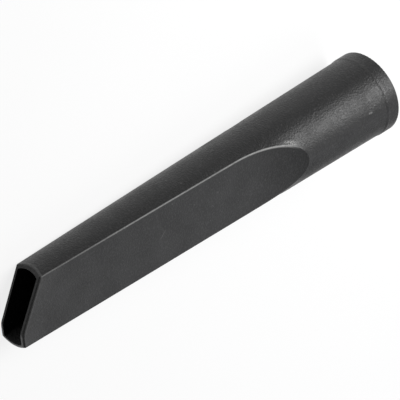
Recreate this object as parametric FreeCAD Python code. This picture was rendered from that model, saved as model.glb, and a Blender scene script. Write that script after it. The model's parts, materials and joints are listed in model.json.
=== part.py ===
# Vacuum crevice tool: one hollow moulding with a round push-on socket at one end
# and a flat, slant-cut suction mouth at the other. It lies on one of its two flats.
import FreeCAD, Part
import math
import os
from FreeCAD import Rotation, Vector

NODE = "crevice_nozzle"

# Driving dimensions, in millimetres and degrees

# Socket that pushes over the end of the suction tube
bore_radius = 17.5
socket_depth = 40.0
socket_wall = 2.32
stop_ledge = 0.5
lead_in_length = 1.6
lead_in_step = 0.6

# Raised collar round the socket's rim
collar_width = 6.6
collar_proud = 0.18
collar_step = 1.6
rim_edge_radius = 0.6

# Tapering body and its two flats
overall_length = 218.3
body_taper = 1.0
flat_taper = 1.67
flat_wall = 1.75
side_wall = 1.55
nose_half_thickness = 7.6
runout_gap = 17.4
runout_radius = 106.0
flat_edge_radius = 0.4
duct_corner_radius = 0.8

# Slanted suction mouth with its blunt nose
mouth_slant = 32.5
nose_slant = 3.7
nose_edge = 6.7
nose_radius = 6.0
mouth_edge_radius = 1.0

# Nick in the round body near the collar
nick_from_rim = 17.4
nick_angle = 101.0
nick_length = 2.6
nick_width = 1.1
nick_depth = 0.2

# Room that a cutting tool reaches past the surface it cuts
overrun = 5.0

# Values worked out from the dimensions above
body_slope = math.tan(math.radians(body_taper))
flat_slope = math.tan(math.radians(flat_taper))
body_radius_at_rim = bore_radius + socket_wall
collar_radius = body_radius_at_rim + collar_proud
reach = collar_radius + overrun
apex_x = socket_depth + runout_gap

ORIGIN = Vector(0, 0, 0)
X_AXIS = Vector(1, 0, 0)
Y_AXIS = Vector(0, 1, 0)
Z_AXIS = Vector(0, 0, 1)


def body_radius(x):
    """Outer radius of the tapering body at a distance x from the rim."""
    return body_radius_at_rim - body_slope * x


def duct_radius(x):
    """Inner radius of the duct's rounded sides, from the stop ledge to the side wall at the mouth."""
    ledge_radius = bore_radius - stop_ledge
    mouth_radius = body_radius(overall_length) - side_wall
    share = (x - socket_depth) / (overall_length - socket_depth)
    return ledge_radius + (mouth_radius - ledge_radius) * share


def half_thickness(x):
    """Distance of a flat from the tool's middle plane at a distance x from the rim."""
    return nose_half_thickness + flat_slope * (overall_length - x)


def side_point(x, height):
    """Point in the plane that cuts both flats through the middle."""
    return Vector(x, 0, height)


def circle_point(centre, radius, angle, up):
    """Point on a circle, at an angle that turns from X towards the up axis."""
    turn = math.radians(angle)
    return centre + X_AXIS * (radius * math.cos(turn)) + up * (radius * math.sin(turn))


def bent_off(start, along, outward, radius, turn):
    """Point on an arc that leaves start along a line and bends off outward."""
    return start + along * (radius * math.sin(turn)) + outward * (radius * (1 - math.cos(turn)))


def polyline(*points):
    """Straight edges through the points."""
    return [Part.LineSegment(a, b).toShape() for a, b in zip(points, points[1:])]


def arc(first, middle, last):
    """Circular edge through three points, in a list."""
    return [Part.Arc(first, middle, last).toShape()]


def tangent_arc(start, along, end):
    """Circular edge that leaves start along a direction and bends off to end, in a list."""
    step = end - start
    outward = (step - along * step.dot(along)).normalize()
    radius = step.dot(step) / (2 * step.dot(outward))
    half_turn = math.atan2(step.dot(outward), step.dot(along))
    return arc(start, bent_off(start, along, outward, radius, half_turn), end)


def revolved(edges):
    """Solid of revolution about the tool's axis from a closed profile."""
    return Part.Face(Part.Wire(edges)).revolve(ORIGIN, X_AXIS, 360)


def extruded_across(edges, axis):
    """Solid from a closed profile, pushed along an axis to both sides of the middle."""
    profile = Part.Face(Part.Wire(edges))
    profile.translate(axis * -reach)
    return profile.extrude(axis * (2 * reach))


def half_turned(shape):
    """Copy turned half a turn about the tool's axis."""
    copy = shape.copy()
    copy.rotate(ORIGIN, X_AXIS, 180)
    return copy


def round_body():
    """Collar with its rounded rim edge, a small soft step, and the long plain taper."""
    far_x = overall_length + overrun
    foot_x = collar_width + collar_step
    rim_centre = side_point(rim_edge_radius, collar_radius - rim_edge_radius)
    rim = [circle_point(rim_centre, rim_edge_radius, angle, Z_AXIS) for angle in (180, 135, 90)]

    # The step bends off the collar, and back on to the taper
    collar_end = side_point(collar_width, collar_radius)
    step_foot = side_point(foot_x, body_radius(foot_x))
    step_middle = (collar_end + step_foot) * 0.5
    taper = math.radians(body_taper)
    up_taper = side_point(-math.cos(taper), math.sin(taper))

    edges = polyline(ORIGIN, rim[0]) + arc(*rim) + polyline(rim[2], collar_end)
    edges += tangent_arc(collar_end, X_AXIS, step_middle)
    edges += tangent_arc(step_foot, up_taper, step_middle)
    edges += polyline(step_foot, side_point(far_x, body_radius(far_x)), side_point(far_x, 0), ORIGIN)
    return revolved(edges)


def flat_cutter(inset):
    """Tool that cuts one flat and its hollow run-out, set in from the outside by inset."""
    taper = math.radians(flat_taper)
    along = side_point(-math.cos(taper), math.sin(taper))
    outward = side_point(math.sin(taper), math.cos(taper))
    nose = side_point(overall_length, nose_half_thickness)

    # The run-out leaves the flat along its line and reaches the body's outside at the apex
    to_apex = side_point(apex_x, body_radius(apex_x)) - nose
    rise = to_apex.dot(outward)
    run = to_apex.dot(along) - runout_radius * math.sin(math.acos(1 - rise / runout_radius))
    start = nose + along * run - outward * inset
    radius = runout_radius + inset
    full_turn = math.acos(1 - (rise + inset + overrun) / radius)
    middle = bent_off(start, along, outward, radius, full_turn / 2)
    top = bent_off(start, along, outward, radius, full_turn)

    past_nose = start - along * (run + 2 * overrun)
    edges = arc(top, middle, start)
    edges += polyline(start, past_nose, side_point(past_nose.x, top.z), top)
    return extruded_across(edges, Y_AXIS)


def slanted_point(start, slant, rise):
    """Point reached from start along an edge of the mouth, after a rise along Y."""
    return start + Vector(rise * math.tan(math.radians(slant)), rise, 0)


def nose_centre():
    """Centre of the arc that joins the mouth's long slanted edge to the nose's short one."""
    foremost = Vector(overall_length, body_radius(overall_length), 0)
    arc_end = slanted_point(foremost, nose_slant, -nose_edge)
    return circle_point(arc_end, nose_radius, 180 - nose_slant, Y_AXIS)


def mouth_cutter():
    """Tool that cuts the slanted mouth and its nose straight through the thickness."""
    centre = nose_centre()
    slants = (mouth_slant, (mouth_slant + nose_slant) / 2, nose_slant)
    nose = [circle_point(centre, nose_radius, -slant, Y_AXIS) for slant in slants]
    slant_end = slanted_point(nose[0], mouth_slant, -reach - nose[0].y)
    nose_end = slanted_point(nose[2], nose_slant, reach - nose[2].y)
    far_x = overall_length + 2 * overrun
    edges = polyline(slant_end, nose[0]) + arc(*nose) + polyline(nose[2], nose_end)
    edges += polyline(nose_end, Vector(far_x, reach, 0), Vector(far_x, -reach, 0), slant_end)
    return extruded_across(edges, Z_AXIS)


def nick_cutter():
    """Small wheel with a rounded rim, which leaves a short shallow nick along the round body."""
    rim_radius = ((nick_width / 2) ** 2 + nick_depth ** 2) / (2 * nick_depth)
    wheel_radius = ((nick_length / 2) ** 2 + nick_depth ** 2) / (2 * nick_depth)
    turn = math.radians(nick_angle)
    outward = Y_AXIS * math.cos(turn) + Z_AXIS * math.sin(turn)
    height = body_radius(nick_from_rim) - nick_depth + wheel_radius
    centre = X_AXIS * nick_from_rim + outward * height
    return Part.makeTorus(wheel_radius - rim_radius, rim_radius, centre, X_AXIS.cross(outward))


def is_taper(face):
    """True for the tapering round surface."""
    return isinstance(face.Surface, Part.Cone)


def is_flat(face):
    """True for a flat or its hollow run-out, which both run straight across the tool."""
    surface = face.Surface
    if isinstance(surface, Part.Plane):
        return abs(surface.Axis.z) > abs(surface.Axis.x)
    return isinstance(surface, Part.Cylinder) and abs(surface.Axis.y) > abs(surface.Axis.x)


def is_mouth(face):
    """True for the slanted end and its rounded nose, which run straight through the thickness."""
    surface = face.Surface
    if isinstance(surface, Part.Plane):
        return not is_flat(face) and face.CenterOfMass.x > apex_x
    return isinstance(surface, Part.Cylinder) and abs(surface.Axis.z) > abs(surface.Axis.x)


def is_outside(face):
    """True for the surfaces that the mouth's outer edge runs along."""
    return is_taper(face) or is_flat(face)


def edge_numbers(shape, first, second):
    """Numbers of the edges where a face of the first kind meets one of the second kind."""
    numbers = []
    for number, edge in enumerate(shape.Edges, 1):
        sides = shape.ancestorsOfType(edge, Part.Face)
        if any(first(a) and second(b) for a in sides for b in sides if not a.isSame(b)):
            numbers.append(number)
    return numbers


def rounded(shape, rounds):
    """Copy with edges rounded together; rounds holds pairs of edge numbers and a radius."""
    document = FreeCAD.newDocument()
    base = document.addObject("Part::Feature", "sharp")
    base.Shape = shape
    fillet = document.addObject("Part::Fillet", "rounded")
    fillet.Base = base
    fillet.Edges = [(number, radius, radius) for numbers, radius in rounds for number in numbers]
    document.recompute()
    result = fillet.Shape.copy()
    FreeCAD.closeDocument(document.Name)
    return result


def outer_form():
    """Outside of the tool as a solid: the round body with its flats and its mouth cut."""
    cutter = flat_cutter(0)
    body = round_body().cut([cutter, half_turned(cutter), mouth_cutter()])
    flat_edges = edge_numbers(body, is_taper, is_flat)
    mouth_edges = edge_numbers(body, is_mouth, is_outside)
    return rounded(body, [(flat_edges, flat_edge_radius), (mouth_edges, mouth_edge_radius)])


def duct_core():
    """Space inside the tool between the socket's stop ledge and the open mouth."""
    start_x = socket_depth - overrun
    far_x = overall_length + overrun
    edges = polyline(
        side_point(start_x, 0),
        side_point(start_x, duct_radius(start_x)),
        side_point(far_x, duct_radius(far_x)),
        side_point(far_x, 0),
        side_point(start_x, 0),
    )
    cutter = flat_cutter(flat_wall)
    core = revolved(edges).cut([cutter, half_turned(cutter)])
    return rounded(core, [(edge_numbers(core, is_taper, is_flat), duct_corner_radius)])


def socket_core():
    """Space for the tube's end: a straight bore with a widened lead-in at the rim."""
    edges = polyline(
        side_point(-overrun, 0),
        side_point(-overrun, bore_radius + lead_in_step),
        side_point(0, bore_radius + lead_in_step),
        side_point(lead_in_length, bore_radius),
        side_point(socket_depth, bore_radius),
        side_point(socket_depth, 0),
        side_point(-overrun, 0),
    )
    return revolved(edges)


def laid_down(tool):
    """Copy lying on its lower flat side, with the origin under the middle of its outline.

    It touches the ground with the tip of the lower run-out and along the mouth's slanted edge.
    """
    apex = Vector(apex_x, 0, -body_radius(apex_x))

    # The mouth's rounded edge leaves the lower flat along a line set in by the rounding
    nose = circle_point(nose_centre(), nose_radius - mouth_edge_radius, -mouth_slant, Y_AXIS)
    short_side = slanted_point(nose, mouth_slant, -reach)
    nose.z = -half_thickness(nose.x)
    short_side.z = -half_thickness(short_side.x)
    ground_normal = (short_side - apex).cross(nose - apex)

    lying = tool.copy()
    lying.Placement = FreeCAD.Placement(ORIGIN, Rotation(ground_normal, Z_AXIS))
    box = lying.optimalBoundingBox(False, False)
    lying.translate(Vector(-box.Center.x, -box.Center.y, -box.ZMin))
    return lying


def crevice_nozzle():
    """The whole moulding, at rest on the ground."""
    hollowed = outer_form().cut([duct_core(), socket_core(), nick_cutter()])
    return laid_down(hollowed.Solids[0])


os.makedirs("parts", exist_ok=True)
crevice_nozzle().exportStep(os.path.join("parts", NODE + ".step"))
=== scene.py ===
"""Looks and stage for a vacuum crevice tool: one hollow moulding in grained charcoal plastic.

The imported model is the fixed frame, in metres. The moulding keeps its shape and its place from there.
"""
import json
import math
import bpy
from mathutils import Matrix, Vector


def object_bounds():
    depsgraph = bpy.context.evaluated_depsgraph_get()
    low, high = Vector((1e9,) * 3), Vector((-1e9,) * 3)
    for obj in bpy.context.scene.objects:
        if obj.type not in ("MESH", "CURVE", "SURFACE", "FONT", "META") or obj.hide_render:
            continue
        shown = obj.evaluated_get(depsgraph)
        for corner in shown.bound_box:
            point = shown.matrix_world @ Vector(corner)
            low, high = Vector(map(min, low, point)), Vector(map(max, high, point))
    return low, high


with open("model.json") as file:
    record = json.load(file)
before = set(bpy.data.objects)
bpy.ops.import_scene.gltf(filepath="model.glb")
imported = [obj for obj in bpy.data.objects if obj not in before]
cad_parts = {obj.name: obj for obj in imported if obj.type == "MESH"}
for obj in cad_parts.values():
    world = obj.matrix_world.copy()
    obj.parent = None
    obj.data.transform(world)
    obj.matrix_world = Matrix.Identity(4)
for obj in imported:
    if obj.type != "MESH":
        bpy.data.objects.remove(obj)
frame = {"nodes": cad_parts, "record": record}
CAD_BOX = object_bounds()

from types import SimpleNamespace

import bpy
from bpy.props import FloatProperty, FloatVectorProperty, PointerProperty
from bpy.types import NodeSocket, Operator, Panel, PropertyGroup
from mathutils import Matrix, Quaternion, Vector

bl_info = {
    "name": "Vacuum crevice tool",
    "version": (1, 0, 0),
    "blender": (4, 5, 0),
    "location": "3D View > Sidebar > Crevice tool",
    "description": "Gives a moulded crevice tool its grained plastic, and sets up a pale studio round it",
    "category": "Object",
}

NODE = "crevice_nozzle"

METRES_PER_MM = 0.001

# Sizes of the moulding that its wear follows, in metres and along its own axes:
# X runs from the socket's rim to the mouth, Y to the mouth's longer side and Z out of the upper flat
LENGTH = 0.2183
RIM_RADIUS = 0.01982
BODY_SLOPE = math.tan(math.radians(1.0))
FLAT_TAPER = math.radians(1.67)
NOSE_HALF_THICKNESS = 0.0076
RUNOUT_START = 0.0938
RUNOUT_RADIUS = 0.106
LEAD_IN = 0.0016
COLLAR_EDGE = 0.0063
COLLAR_STEP_FOOT = 0.0072
MOUTH_SLANT = math.radians(32.5)
MOUTH_SLANT_POINT = (0.21694, 0.00647, 0.0)
NOSE_SLANT = math.radians(3.7)
NOSE_SLANT_POINT = (0.21787, 0.00931, 0.0)
TOOL_ROLL = math.radians(1.544)

# Spans of depth below the outer surface, in metres. Here and below, a change over a span
# starts at the first number and is complete at the second
SURFACE_DEPTH = (0.0002, 0.0005)
COLLAR_WALL_DEPTH = (0.0006, 0.0012)
RUBBED_DEPTH = (0.0003, 0.0010)
CUT_DEPTH = (0.0001, 0.0005)
COARSE_DEPTH = (0.0002, 0.0010)

# Painted glint along the flats' edges on the key light's side, partly rubbed wear: spans along X and Y, and
# how much of it is left past them
EDGE_GLINT_START = (0.0600, 0.0685)
EDGE_GLINT_EASING = (0.072, 0.104)
EASED_GLINT = 0.63
EDGE_GLINT_FADING = (0.140, 0.190)
FADED_GLINT = 0.62
EDGE_GLINT_SIDE = (-0.006, 0.0)
OTHER_SIDE_GLINT = 0.12
PATCHY_GLINT = 0.74

# Scuff on the round body beside the upper run-out: spans of depth below the flat and of distance
# from its middle, and how much of it reaches the run-out's edge
SCUFF_MIDDLE = (0.0640, -0.0107, 0.0153)
SCUFF_GAP = (0.0003, 0.0009)
SCUFF_REACH = (0.0013, 0.0021)
SCUFF_RADIUS = (0.0010, 0.0046)
SCUFF_AT_EDGE = 0.35

# Small marks: middle, direction, length and width
NICK = ((0.0174, -0.0038, 0.0191), (1.0, 0.0, 0.0), 0.0028, 0.0016)
SCRATCH = ((0.1383, -0.0003, 0.0099), (0.78, 0.63, 0.0), 0.0056, 0.0010)

# Painted light in the step behind the collar, paling the step's shaded line, and shine at the collar: spans
# of distance from the step or the edge and along Y and Z, and how much there is low on the collar and on its
# flank
PAINTED_LIGHT_WIDTH = (0.0003, 0.0009)
PAINTED_LIGHT_SIDE = (-0.0065, -0.0035)
PAINTED_LIGHT_HEIGHT = (0.0125, 0.0150)
LOW_PAINTED_LIGHT = 0.45
COLLAR_FLANK = (-0.0130, -0.0105)
FLANK_PAINTED_LIGHT = 1.5
COLLAR_SHINE_WIDTH = (0.0002, 0.0006)
FLANK_SHINE = 0.35

# Paling and wear at the mouth: spans along X and Y, of distance behind its end face and of depth, and how
# much paler the flats get close to it
MOUTH_NEARING = (0.160, 0.205)
MOUTH_CLOSE = (0.003, 0.014)
CLOSE_PALING = 1.2
MOUTH_LINE_DEPTH = (0.00005, 0.00025)
MOUTH_LINE_WIDTH = (0.0008, 0.0014)
MOUTH_STRIP_WIDTH = (0.0010, 0.0030)
CUT_FACE_WIDTH = (0.0003, 0.0006)
NOSE_SIDE = (0.0070, 0.0090)

# Noise: blotches to the metre, detail and roughness, and the span of its values over which a mark
# comes up. The grain's blotches follow from its pitch, so it has only detail and roughness here
EDGE_PATCHES = (420.0, 3.0, 0.6)
EDGE_PATCH_VALUES = (0.30, 0.60)
SCUFF_SPOTS = (2100.0, 2.0, 0.5)
SCUFF_SPOT_VALUES = (0.42, 0.58)
FLECKS = (700.0, 0.0, 0.5)
FLECK_VALUES = (0.81, 0.87)
SHEEN_DRIFT = (90.0, 4.0, 0.55)
SHEEN_VALUES = (0.3, 0.7)
GRAIN_DETAIL = (2.0, 0.6)
GRAIN_TOP_VALUES = (0.48, 0.70)
GRAIN_MIDDLE = 0.5

# Gloss of the plastic: the grain's height on the round body over that on the flats,
# the roughness that drifts over the surface, and what is added to it
ROUND_COARSENESS = 2.8
LEAST_ROUGHNESS = 0.415
MOST_ROUGHNESS = 0.495
GRAIN_TOP_ROUGHNESS = -0.12
COLLAR_EDGE_ROUGHNESS = -0.12
CUT_ROUGHNESS = 0.14
NOSE_CUT_ROUGHNESS = -0.05
SPECULAR_LEVEL = 0.42
PLASTIC_IOR = 1.5

# Far enough out for every view of the tool
FLOOR_RADIUS = 3.0
FLOOR_SIDES = 96
COVE_RADIUS = 0.6
COVE_STEPS = 6

# The floor's whiteness fades over this span of distances from the tool
WHITE_FADING = (0.20, 0.90)

SENSOR_WIDTH_MM = 36.0
NEAREST_SEEN = 0.01
FARTHEST_SEEN = 50.0

FLOAT = "NodeSocketFloat"
VECTOR = "NodeSocketVector"


class NozzleFinish(PropertyGroup):
    """Colours, grain and wear of the moulded plastic, with a painted glint on the flats' edges and painted
    light in the collar's step.
    """

    plastic_colour: FloatVectorProperty(
        name="Plastic colour",
        description="Colour of the plastic through and through",
        default=(0.0062, 0.0062, 0.0064, 1.0),
        size=4,
        min=0.0,
        max=1.0,
        subtype="COLOR",
    )
    rubbed_colour: FloatVectorProperty(
        name="Rubbed colour",
        description="Colour of the high points of the grain, where handling has rubbed them",
        default=(0.0158, 0.0158, 0.0161, 1.0),
        size=4,
        min=0.0,
        max=1.0,
        subtype="COLOR",
    )
    # Colour of wear, also used for the painted glint on the flats' edges and the painted light in the
    # collar's step
    wear_and_painted_light_colour: FloatVectorProperty(
        name="Wear and painted light colour",
        description="Colour of the plastic where knocks have scraped it pale",
        default=(0.34, 0.34, 0.335, 1.0),
        size=4,
        min=0.0,
        max=1.0,
        subtype="COLOR",
    )
    grain_pitch: FloatProperty(
        name="Grain pitch",
        description="Distance between two bumps of the spark-eroded grain",
        default=0.00085,
        min=0.0001,
        precision=5,
        unit="LENGTH",
    )
    grain_depth: FloatProperty(
        name="Grain depth",
        description="Height of the grain's bumps",
        default=0.00009,
        min=0.0,
        precision=6,
        unit="LENGTH",
    )
    # Strength of the painted glint along the flats' edges, which is partly rubbed wear
    edge_glint_and_wear: FloatProperty(
        name="Edge glint and wear",
        description="How pale the edges of the two flats are rubbed",
        default=0.95,
        min=0.0,
        max=1.0,
        subtype="FACTOR",
    )
    # Width of that painted glint and rub line
    edge_glint_width: FloatProperty(
        name="Edge glint and wear width",
        description="How far the rubbed line reaches to each side of an edge",
        default=0.00055,
        min=0.0001,
        precision=5,
        unit="LENGTH",
    )
    scuff_wear: FloatProperty(
        name="Scuff",
        description="How pale the scuffed patch beside the upper run-out is",
        default=0.9,
        min=0.0,
        max=1.0,
        subtype="FACTOR",
    )
    nick_wear: FloatProperty(
        name="Nick",
        description="How pale the small nick behind the collar is",
        default=0.3,
        min=0.0,
        max=1.0,
        subtype="FACTOR",
    )
    # How much paler the flats get towards the mouth
    mouth_paling: FloatProperty(
        name="Mouth paling",
        description="How pale the flats are scraped towards the mouth",
        default=0.025,
        min=0.0,
        max=1.0,
        subtype="FACTOR",
    )
    mouth_edge_wear: FloatProperty(
        name="Mouth edge wear",
        description="How pale the outer edge of the mouth is rubbed",
        default=0.10,
        min=0.0,
        max=1.0,
        subtype="FACTOR",
    )
    # Painted light that pales the shaded line in the step behind the collar
    painted_step_light: FloatProperty(
        name="Painted step light",
        description="How much dust lies in the step behind the collar",
        default=0.07,
        min=0.0,
        max=1.0,
        subtype="FACTOR",
    )
    fleck_wear: FloatProperty(
        name="Scratch and flecks",
        description="How pale the scratch on the upper flat and the scattered flecks are",
        default=0.07,
        min=0.0,
        max=1.0,
        subtype="FACTOR",
    )


class StudioStage(PropertyGroup):
    """Floor, lights and camera round the tool."""

    floor_colour: FloatVectorProperty(
        name="Floor colour",
        description="Colour of the floor and of its cove",
        default=(0.90, 0.90, 0.90, 1.0),
        size=4,
        min=0.0,
        max=1.0,
        subtype="COLOR",
    )
    floor_glow: FloatProperty(
        name="Floor whiteness",
        description="White that the camera and reflections see on top of the lit floor round the tool",
        default=0.82,
        min=0.0,
        max=1.0,
        subtype="FACTOR",
    )
    far_glow: FloatProperty(
        name="Far floor whiteness",
        description="The same white far from the tool, where the floor fades to grey",
        default=0.50,
        min=0.0,
        max=1.0,
        subtype="FACTOR",
    )
    surround_level: FloatProperty(
        name="Surround level",
        description="Brightness of the room around the stage",
        default=0.054,
        min=0.0,
    )
    key_from: FloatVectorProperty(
        name="Key light direction",
        description="Where the key light stands, seen from the tool",
        default=(-0.546, -0.369, 0.752),
        subtype="DIRECTION",
    )
    key_size: FloatProperty(
        name="Key light size",
        description="Side of the square key light",
        default=0.425,
        min=0.01,
        unit="LENGTH",
    )
    key_power: FloatProperty(
        name="Key light power",
        description="Power of the key light",
        default=5.75,
        min=0.0,
        unit="POWER",
    )
    key_colour: FloatVectorProperty(
        name="Key light colour",
        description="Colour of the key light",
        default=(1.0, 1.0, 1.0),
        min=0.0,
        max=1.0,
        subtype="COLOR",
    )
    fill_from: FloatVectorProperty(
        name="Fill light direction",
        description="Where the fill light stands, seen from the tool",
        default=(-0.376, 0.571, 0.730),
        subtype="DIRECTION",
    )
    fill_size: FloatProperty(
        name="Fill light size",
        description="Side of the square fill light",
        default=0.614,
        min=0.01,
        unit="LENGTH",
    )
    fill_power: FloatProperty(
        name="Fill light power",
        description="Power of the fill light",
        default=1.82,
        min=0.0,
        unit="POWER",
    )
    fill_colour: FloatVectorProperty(
        name="Fill light colour",
        description="Colour of the fill light",
        default=(0.975, 0.98, 1.0),
        min=0.0,
        max=1.0,
        subtype="COLOR",
    )
    light_distance: FloatProperty(
        name="Light distance",
        description="Distance of both lights from the tool",
        default=0.7,
        min=0.1,
        unit="LENGTH",
    )
    camera_aim: FloatVectorProperty(
        name="Camera aim",
        description="Point that the camera looks at",
        default=(0.001585, -0.000313, 0.018155),
        subtype="TRANSLATION",
        unit="LENGTH",
        precision=5,
    )
    camera_from: FloatVectorProperty(
        name="Camera direction",
        description="Where the camera stands, seen from its aim",
        default=(0.56935511, -0.55256172, 0.60869557),
        subtype="DIRECTION",
        precision=6,
    )
    camera_distance: FloatProperty(
        name="Camera distance",
        description="Distance of the camera from its aim",
        default=1.1003414,
        min=0.1,
        precision=4,
        unit="LENGTH",
    )
    camera_roll: FloatProperty(
        name="Camera roll",
        description="Turn of the camera about its line of sight",
        default=math.radians(112.808),
        subtype="ANGLE",
    )
    camera_lens: FloatProperty(
        name="Camera lens",
        description="Focal length in millimetres on a 36 mm sensor",
        default=225.9,
        min=1.0,
    )


def deselect_all():
    """Leaves nothing selected, so that an operator acts on what comes next alone."""
    bpy.ops.object.select_all(action="DESELECT")


def new_material(name):
    """Material with an empty node tree; returns both."""
    material = bpy.data.materials.new(name)
    material.use_nodes = True
    material.node_tree.nodes.clear()
    return material, material.node_tree


def add_node(tree, kind, **settings):
    """New node with its settings."""
    node = tree.nodes.new(kind)
    for name, value in settings.items():
        setattr(node, name, value)
    return node


def feed(tree, socket, value):
    """Links an input to another node's output, or sets it to a constant."""
    if isinstance(value, NodeSocket):
        tree.links.new(value, socket)
    else:
        socket.default_value = value


def feed_inputs(tree, node, values):
    """Feeds a node's named inputs."""
    for name, value in values.items():
        feed(tree, node.inputs[name], value)


def number(tree, operation, *values):
    """Result of a Math node."""
    node = add_node(tree, "ShaderNodeMath", operation=operation)
    for socket, value in zip(node.inputs, values):
        feed(tree, socket, value)
    return node.outputs["Value"]


def largest(tree, first, *others):
    """Largest of several values."""
    for other in others:
        first = number(tree, "MAXIMUM", first, other)
    return first


def smallest(tree, first, *others):
    """Smallest of several values."""
    for other in others:
        first = number(tree, "MINIMUM", first, other)
    return first


def product(tree, first, *others):
    """Product of several values."""
    for other in others:
        first = number(tree, "MULTIPLY", first, other)
    return first


def ramp(tree, value, span, start=0.0, stop=1.0):
    """Smooth change from one level to another while a value goes through a span."""
    low, high = span
    node = add_node(tree, "ShaderNodeMapRange", interpolation_type="SMOOTHSTEP")
    limits = {"From Min": low, "From Max": high, "To Min": start, "To Max": stop}
    feed_inputs(tree, node, {"Value": value, **limits})
    return node.outputs["Result"]


def fall(tree, value, span, stop=0.0):
    """Smooth fall from 1 while a value goes through a span."""
    return ramp(tree, value, span, 1.0, stop)


def gap(tree, value, level):
    """How far a value is from a level."""
    return number(tree, "ABSOLUTE", number(tree, "SUBTRACT", value, level))


def noise(tree, place, per_metre, detail, roughness):
    """Cloudy noise with so many blotches to the metre."""
    node = add_node(tree, "ShaderNodeTexNoise", noise_dimensions="3D")
    feed_inputs(tree, node, {"Vector": place, "Scale": per_metre, "Detail": detail, "Roughness": roughness})
    return node.outputs["Fac"]


def vector_node(tree, operation, *values):
    """Vector Math node on sockets or constants."""
    node = add_node(tree, "ShaderNodeVectorMath", operation=operation)
    for socket, value in zip(node.inputs, values):
        feed(tree, socket, value)
    return node


def distance_to(tree, place, spot):
    """Distance of the surface from a spot."""
    return vector_node(tree, "DISTANCE", place, spot).outputs["Value"]


def behind_face(tree, place, point, slant):
    """Distance behind an end face that passes through a point and is turned so far from square."""
    outward = (math.cos(slant), -math.sin(slant), 0.0)
    offset = vector_node(tree, "SUBTRACT", point, place).outputs["Vector"]
    return vector_node(tree, "DOT_PRODUCT", offset, outward).outputs["Value"]


def streak(tree, place, middle, line, length, width):
    """Short mark along a line: 1 on the line, and 0 past its ends and half a width from it."""
    offset = vector_node(tree, "SUBTRACT", place, middle).outputs["Vector"]
    along = vector_node(tree, "DOT_PRODUCT", offset, line).outputs["Value"]
    reach = number(tree, "ABSOLUTE", along)
    foot = vector_node(tree, "PROJECT", offset, line).outputs["Vector"]
    aside = vector_node(tree, "DISTANCE", offset, foot).outputs["Value"]
    ends = fall(tree, reach, (0.3 * length, 0.5 * length))
    return product(tree, ends, fall(tree, aside, (0.0, 0.5 * width)))


def mixed_colour(tree, share, first, second):
    """Blend from a first colour to a second one."""
    node = add_node(tree, "ShaderNodeMix", data_type="RGBA")
    feed(tree, node.inputs["Factor"], share)
    inputs = [socket for socket in node.inputs if socket.type == "RGBA"]
    feed(tree, inputs[0], first)
    feed(tree, inputs[1], second)
    return next(socket for socket in node.outputs if socket.type == "RGBA")


def new_group(name, inputs, outputs):
    """Shader node group with named sockets; returns its tree and its two end nodes."""
    group = bpy.data.node_groups.new(name, "ShaderNodeTree")
    for label, kind in inputs:
        group.interface.new_socket(name=label, in_out="INPUT", socket_type=kind)
    for label, kind in outputs:
        group.interface.new_socket(name=label, in_out="OUTPUT", socket_type=kind)
    return group, group.nodes.new("NodeGroupInput"), group.nodes.new("NodeGroupOutput")


def grain_group():
    """Spark-eroded grain: pebbled height, and a tone that drifts over the surface."""
    group, start, end = new_group(
        "spark_grain",
        [("Vector", VECTOR), ("Bumps per Metre", FLOAT)],
        [("Height", FLOAT), ("Tone", FLOAT)],
    )
    place = start.outputs["Vector"]
    bumps = noise(group, place, start.outputs["Bumps per Metre"], *GRAIN_DETAIL)
    feed(group, end.inputs["Height"], bumps)
    feed(group, end.inputs["Tone"], noise(group, place, *SHEEN_DRIFT))
    return group


def body_depth_group():
    """Depth of a point below the round body and below the flats with their run-outs."""
    group, start, end = new_group(
        "body_depth", [("Vector", VECTOR)], [("Below Round", FLOAT), ("Below Flat", FLOAT)]
    )
    split = add_node(group, "ShaderNodeSeparateXYZ")
    feed(group, split.inputs["Vector"], start.outputs["Vector"])
    x, y, z = split.outputs["X"], split.outputs["Y"], split.outputs["Z"]

    body_radius = number(group, "MULTIPLY_ADD", x, -BODY_SLOPE, RIM_RADIUS)
    square = number(group, "ADD", product(group, y, y), product(group, z, z))
    from_axis = number(group, "SQRT", square)
    feed(group, end.inputs["Below Round"], number(group, "SUBTRACT", body_radius, from_axis))

    slope = math.tan(FLAT_TAPER)
    straight = number(group, "MULTIPLY_ADD", x, -slope, NOSE_HALF_THICKNESS + slope * LENGTH)
    start_height = NOSE_HALF_THICKNESS + slope * (LENGTH - RUNOUT_START)
    centre_x = RUNOUT_START + RUNOUT_RADIUS * math.sin(FLAT_TAPER)
    centre_z = start_height + RUNOUT_RADIUS * math.cos(FLAT_TAPER)
    along = number(group, "SUBTRACT", x, centre_x)
    rise = number(group, "SUBTRACT", RUNOUT_RADIUS ** 2, product(group, along, along))
    curved = number(group, "SUBTRACT", centre_z, number(group, "SQRT", rise))
    on_runout = number(group, "LESS_THAN", x, RUNOUT_START)
    extra = product(group, number(group, "SUBTRACT", curved, straight), on_runout)
    flat_height = number(group, "ADD", straight, extra)
    below_flat = number(group, "SUBTRACT", flat_height, number(group, "ABSOLUTE", z))
    feed(group, end.inputs["Below Flat"], below_flat)
    return group


def tool_axes():
    """Middle of the socket's rim, and the turn that brings world axes to the tool's own."""
    bore = frame["record"]["mounts"][0]
    to_mouth = -Vector(bore["axis"]).normalized()
    half_bore = 0.5 * bore["dims"]["length_mm"] * METRES_PER_MM
    rim_middle = Vector(bore["pos_m"]) - to_mouth * (half_bore + LEAD_IN)
    side = Vector((0.0, 0.0, 1.0)).cross(to_mouth).normalized()
    level = Matrix((to_mouth, side, to_mouth.cross(side))).transposed()
    return rim_middle, (level @ Matrix.Rotation(TOOL_ROLL, 3, "X")).to_euler()


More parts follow.
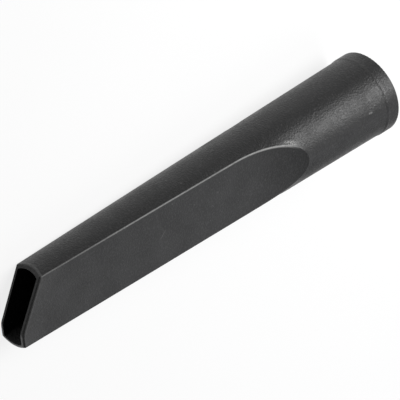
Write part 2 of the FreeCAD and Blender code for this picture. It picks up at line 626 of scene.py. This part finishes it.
def moulding_skin(tree, finish):
    """Place, depths and grain of a point on the moulding, from which its wear and its gloss are made."""
    rim_middle, turn = tool_axes()
    coordinates = add_node(tree, "ShaderNodeTexCoord")
    own_axes = add_node(tree, "ShaderNodeMapping", vector_type="TEXTURE")
    feed_inputs(
        tree, own_axes, {"Vector": coordinates.outputs["Object"], "Location": rim_middle, "Rotation": turn}
    )
    place = own_axes.outputs["Vector"]
    split = add_node(tree, "ShaderNodeSeparateXYZ")
    feed(tree, split.inputs["Vector"], place)

    grain = add_node(tree, "ShaderNodeGroup", node_tree=grain_group())
    feed_inputs(tree, grain, {"Vector": place, "Bumps per Metre": 1.0 / finish.grain_pitch})
    depth = add_node(tree, "ShaderNodeGroup", node_tree=body_depth_group())
    feed(tree, depth.inputs["Vector"], place)
    below_round, below_flat = depth.outputs["Below Round"], depth.outputs["Below Flat"]
    behind_mouth = smallest(
        tree,
        behind_face(tree, place, MOUTH_SLANT_POINT, MOUTH_SLANT),
        behind_face(tree, place, NOSE_SLANT_POINT, NOSE_SLANT),
    )
    return SimpleNamespace(
        place=place,
        x=split.outputs["X"],
        y=split.outputs["Y"],
        z=split.outputs["Z"],
        height=grain.outputs["Height"],
        tone=grain.outputs["Tone"],
        below_round=below_round,
        below_flat=below_flat,
        below_both=smallest(tree, below_round, below_flat),
        behind_mouth=behind_mouth,
        on_flat=fall(tree, below_flat, SURFACE_DEPTH),
        on_collar=fall(tree, below_round, COLLAR_WALL_DEPTH),
    )


def edge_glint_and_rub(tree, skin, finish):
    """Painted glint along the flats' edges, partly rubbed wear: patchy, palest beside the run-outs and faint
    on the side away from the key light.
    """
    from_edge = largest(tree, skin.below_round, skin.below_flat)
    return product(
        tree,
        fall(tree, from_edge, (0.0, finish.edge_glint_width)),
        ramp(tree, skin.x, EDGE_GLINT_START),
        fall(tree, skin.x, EDGE_GLINT_EASING, EASED_GLINT),
        fall(tree, skin.x, EDGE_GLINT_FADING, FADED_GLINT),
        fall(tree, skin.y, EDGE_GLINT_SIDE, OTHER_SIDE_GLINT),
        ramp(tree, noise(tree, skin.place, *EDGE_PATCHES), EDGE_PATCH_VALUES, PATCHY_GLINT),
        finish.edge_glint_and_wear,
    )


def scuff(tree, skin, finish):
    """Spots on the round body just outside the upper run-out's edge."""
    return product(
        tree,
        fall(tree, skin.below_round, SURFACE_DEPTH),
        ramp(tree, skin.below_flat, SCUFF_GAP, SCUFF_AT_EDGE),
        fall(tree, skin.below_flat, SCUFF_REACH),
        fall(tree, distance_to(tree, skin.place, SCUFF_MIDDLE), SCUFF_RADIUS),
        ramp(tree, noise(tree, skin.place, *SCUFF_SPOTS), SCUFF_SPOT_VALUES),
        finish.scuff_wear,
    )


def small_marks(tree, skin, finish):
    """Nick behind the collar, faint scratch on the upper flat, and scattered flecks."""
    nick = product(tree, streak(tree, skin.place, *NICK), finish.nick_wear)
    scratch = streak(tree, skin.place, *SCRATCH)
    flecks = ramp(tree, noise(tree, skin.place, *FLECKS), FLECK_VALUES)
    return largest(tree, nick, product(tree, largest(tree, scratch, flecks), finish.fleck_wear))


def collar_step_painted_light(tree, skin, finish):
    """Painted light in the step behind the collar, paling the step's shaded line, on the side of the mouth's
    shorter edge.
    """
    return product(
        tree,
        fall(tree, gap(tree, skin.x, COLLAR_STEP_FOOT), PAINTED_LIGHT_WIDTH),
        skin.on_collar,
        fall(tree, skin.y, PAINTED_LIGHT_SIDE),
        ramp(tree, skin.z, PAINTED_LIGHT_HEIGHT, LOW_PAINTED_LIGHT),
        ramp(tree, skin.y, COLLAR_FLANK, FLANK_PAINTED_LIGHT),
        finish.painted_step_light,
    )


def nose_cut_mask(tree, skin):
    """Cut face of the mouth where it turns round the nose."""
    return product(tree, fall(tree, skin.behind_mouth, CUT_FACE_WIDTH), ramp(tree, skin.y, NOSE_SIDE))


def mouth_paling_and_rub(tree, skin, nose_cut, finish):
    """Flats paler towards the mouth, and its outer edge: a line, a wider strip on the flats, and the nose."""
    close = ramp(tree, skin.behind_mouth, MOUTH_CLOSE, CLOSE_PALING, 0.0)
    nearing = number(tree, "ADD", ramp(tree, skin.x, MOUTH_NEARING), close)
    flats = product(tree, skin.on_flat, nearing, finish.mouth_paling)
    on_round = fall(tree, skin.below_round, MOUTH_LINE_DEPTH)
    line = product(tree, on_round, fall(tree, skin.behind_mouth, MOUTH_LINE_WIDTH))
    strip = product(tree, skin.on_flat, fall(tree, skin.behind_mouth, MOUTH_STRIP_WIDTH))
    edge = product(tree, largest(tree, line, strip, nose_cut), finish.mouth_edge_wear)
    return largest(tree, flats, edge)


def plastic_colour(tree, skin, wear_and_painted_light, finish):
    """Pale marks over grained plastic, whose tops are rubbed on the outside and not on cuts or inside; the
    marks are wear, a painted glint on the flats' edges and painted light in the collar's step.
    """
    outside = fall(tree, skin.below_both, RUBBED_DEPTH)
    rubbed = product(tree, ramp(tree, skin.height, GRAIN_TOP_VALUES), outside)
    grained = mixed_colour(tree, rubbed, finish.plastic_colour, finish.rubbed_colour)
    return mixed_colour(tree, wear_and_painted_light, grained, finish.wear_and_painted_light_colour)


def grain_relief(tree, skin):
    """Height of the grain about its middle, lower on the flats than on the round body."""
    coarseness = ramp(tree, skin.below_flat, COARSE_DEPTH, 1.0, ROUND_COARSENESS)
    return product(tree, number(tree, "SUBTRACT", skin.height, GRAIN_MIDDLE), coarseness)


def plastic_roughness(tree, skin, relief, nose_cut):
    """Sheen that drifts, with shinier grain tops and collar edge, and a duller cut and inside."""
    collar_edge = product(
        tree,
        fall(tree, gap(tree, skin.x, COLLAR_EDGE), COLLAR_SHINE_WIDTH),
        skin.on_collar,
        ramp(tree, skin.y, COLLAR_FLANK, FLANK_SHINE),
    )
    sheen = ramp(tree, skin.tone, SHEEN_VALUES, LEAST_ROUGHNESS, MOST_ROUGHNESS)
    sheen = number(tree, "MULTIPLY_ADD", relief, GRAIN_TOP_ROUGHNESS, sheen)
    sheen = number(tree, "MULTIPLY_ADD", collar_edge, COLLAR_EDGE_ROUGHNESS, sheen)
    cut = ramp(tree, skin.below_both, CUT_DEPTH)
    dullness = ramp(tree, nose_cut, (0.0, 1.0), CUT_ROUGHNESS, NOSE_CUT_ROUGHNESS)
    return number(tree, "MULTIPLY_ADD", cut, dullness, sheen)


def plastic_material(finish):
    """Grained charcoal plastic with its wear, a painted glint along the flats' edges and painted light in the
    collar's step.
    """
    material, tree = new_material("charcoal_grained_plastic")
    output = add_node(tree, "ShaderNodeOutputMaterial")
    shader = add_node(tree, "ShaderNodeBsdfPrincipled")
    feed_inputs(
        tree, shader, {"Metallic": 0.0, "Specular IOR Level": SPECULAR_LEVEL, "IOR": PLASTIC_IOR}
    )
    feed(tree, output.inputs["Surface"], shader.outputs["BSDF"])

    skin = moulding_skin(tree, finish)
    nose_cut = nose_cut_mask(tree, skin)
    # Wear, with the painted glint on the flats' edges and the painted light in the collar's step
    wear_and_painted_light = largest(
        tree,
        edge_glint_and_rub(tree, skin, finish),
        scuff(tree, skin, finish),
        small_marks(tree, skin, finish),
        collar_step_painted_light(tree, skin, finish),
        mouth_paling_and_rub(tree, skin, nose_cut, finish),
    )
    feed(tree, shader.inputs["Base Color"], plastic_colour(tree, skin, wear_and_painted_light, finish))

    relief = grain_relief(tree, skin)
    bump = add_node(tree, "ShaderNodeBump")
    feed_inputs(tree, bump, {"Strength": 1.0, "Distance": finish.grain_depth, "Height": relief})
    feed(tree, shader.inputs["Normal"], bump.outputs["Normal"])
    feed(tree, shader.inputs["Roughness"], plastic_roughness(tree, skin, relief, nose_cut))
    return material


def floor_material(stage):
    """Pale floor, nearly white to the camera and to reflections; it keeps the tool's shadow."""
    material, tree = new_material("pale_floor")
    output = add_node(tree, "ShaderNodeOutputMaterial")
    paint = add_node(tree, "ShaderNodeBsdfDiffuse")
    feed(tree, paint.inputs["Color"], stage.floor_colour)
    glow = add_node(tree, "ShaderNodeEmission")
    feed(tree, glow.inputs["Strength"], 1.0)
    rays = add_node(tree, "ShaderNodeLightPath").outputs
    seen = largest(tree, rays["Is Camera Ray"], rays["Is Glossy Ray"], rays["Is Transmission Ray"])
    floor_place = add_node(tree, "ShaderNodeTexCoord").outputs["Object"]
    from_tool = distance_to(tree, floor_place, (0.0, 0.0, 0.0))
    white = ramp(tree, from_tool, WHITE_FADING, stage.floor_glow, stage.far_glow)
    whitened = add_node(tree, "ShaderNodeMixShader")
    feed(tree, whitened.inputs["Fac"], product(tree, seen, white))
    feed(tree, whitened.inputs[1], paint.outputs["BSDF"])
    feed(tree, whitened.inputs[2], glow.outputs["Emission"])
    feed(tree, output.inputs["Surface"], whitened.outputs["Shader"])
    return material


def add_floor(stage):
    """Round floor whose rim rises in a cove, so that low views still see floor behind the tool."""
    deselect_all()
    bpy.ops.mesh.primitive_circle_add(vertices=FLOOR_SIDES, radius=FLOOR_RADIUS, fill_type="NGON")
    floor = bpy.context.object
    floor.name = "floor"
    bpy.ops.object.mode_set(mode="EDIT")
    bpy.ops.mesh.select_all(action="SELECT")
    bpy.ops.mesh.select_mode(type="EDGE")
    bpy.ops.mesh.region_to_loop()
    radius = FLOOR_RADIUS
    height = 0.0
    for step in range(1, COVE_STEPS + 1):
        turn = 0.5 * math.pi * step / COVE_STEPS
        next_radius = FLOOR_RADIUS + COVE_RADIUS * math.sin(turn)
        next_height = COVE_RADIUS * (1.0 - math.cos(turn))
        bpy.ops.mesh.extrude_edges_move(
            TRANSFORM_OT_translate={"value": (0.0, 0.0, next_height - height)}
        )
        grow = next_radius / radius
        bpy.ops.transform.resize(value=(grow, grow, 1.0), center_override=(0.0, 0.0, 0.0))
        radius, height = next_radius, next_height
    bpy.ops.object.mode_set(mode="OBJECT")
    bpy.ops.object.shade_smooth()
    floor.data.materials.append(floor_material(stage))


def add_soft_light(name, direction, distance, size, power, colour):
    """Square soft light that faces the tool's middle."""
    aim = (Vector(CAD_BOX[0]) + Vector(CAD_BOX[1])) / 2
    away = Vector(direction).normalized()
    deselect_all()
    bpy.ops.object.light_add(type="AREA", location=aim + away * distance)
    lamp = bpy.context.object
    lamp.name = name
    lamp.rotation_mode = "QUATERNION"
    lamp.rotation_quaternion = away.to_track_quat("Z", "Y")
    lamp.data.shape = "SQUARE"
    lamp.data.size = size
    lamp.data.energy = power
    lamp.data.color = colour


def set_surround(level):
    """Even grey room round the stage."""
    world = bpy.data.worlds.new("studio_room")
    world.use_nodes = True
    background = world.node_tree.nodes["Background"]
    background.inputs["Color"].default_value = (level, level, level, 1.0)
    background.inputs["Strength"].default_value = 1.0
    bpy.context.scene.world = world


def add_camera(stage):
    """Camera at the viewing angle, rolled about its line of sight."""
    away = Vector(stage.camera_from).normalized()
    deselect_all()
    bpy.ops.object.camera_add(location=Vector(stage.camera_aim) + away * stage.camera_distance)
    camera = bpy.context.object
    camera.name = "photo_camera"
    camera.rotation_mode = "QUATERNION"
    level = (-away).to_track_quat("-Z", "Y")
    camera.rotation_quaternion = level @ Quaternion((0.0, 0.0, 1.0), stage.camera_roll)
    camera.data.sensor_width = SENSOR_WIDTH_MM
    camera.data.lens = stage.camera_lens
    camera.data.clip_start = NEAREST_SEEN
    camera.data.clip_end = FARTHEST_SEEN
    bpy.context.scene.camera = camera


class OBJECT_OT_dress_crevice_nozzle(Operator):
    """Gives the moulding its grained charcoal plastic"""

    bl_idname = "object.dress_crevice_nozzle"
    bl_label = "Dress crevice nozzle"

    def execute(self, context):
        nozzle = frame["nodes"][NODE]
        nozzle.material_slots[0].material = plastic_material(context.scene.nozzle_finish)
        return {"FINISHED"}


class SCENE_OT_set_up_studio(Operator):
    """Sets up the floor, the soft lights, the room and the camera"""

    bl_idname = "scene.set_up_studio"
    bl_label = "Set up studio"

    def execute(self, context):
        stage = context.scene.studio_stage
        add_floor(stage)
        set_surround(stage.surround_level)
        for name in ("key", "fill"):
            add_soft_light(
                name + "_light",
                getattr(stage, name + "_from"),
                stage.light_distance,
                getattr(stage, name + "_size"),
                getattr(stage, name + "_power"),
                getattr(stage, name + "_colour"),
            )
        add_camera(stage)
        context.scene.view_settings.view_transform = "Standard"
        return {"FINISHED"}


class VIEW3D_PT_crevice_tool(Panel):
    """Lists the tool's operators and their values"""

    bl_label = "Crevice tool"
    bl_idname = "VIEW3D_PT_crevice_tool"
    bl_space_type = "VIEW_3D"
    bl_region_type = "UI"
    bl_category = "Crevice tool"

    def draw(self, context):
        layout = self.layout
        for group, operator in (
            (context.scene.nozzle_finish, OBJECT_OT_dress_crevice_nozzle),
            (context.scene.studio_stage, SCENE_OT_set_up_studio),
        ):
            box = layout.box()
            for name in group.__annotations__:
                box.prop(group, name)
            box.operator(operator.bl_idname)


CLASSES = (
    NozzleFinish,
    StudioStage,
    OBJECT_OT_dress_crevice_nozzle,
    SCENE_OT_set_up_studio,
    VIEW3D_PT_crevice_tool,
)


def register():
    for cls in CLASSES:
        bpy.utils.register_class(cls)
    bpy.types.Scene.nozzle_finish = PointerProperty(type=NozzleFinish)
    bpy.types.Scene.studio_stage = PointerProperty(type=StudioStage)


def unregister():
    del bpy.types.Scene.studio_stage
    del bpy.types.Scene.nozzle_finish
    for cls in reversed(CLASSES):
        bpy.utils.unregister_class(cls)


def main():
    register()
    bpy.ops.object.dress_crevice_nozzle()
    bpy.ops.scene.set_up_studio()


if __name__ == "__main__":
    main()
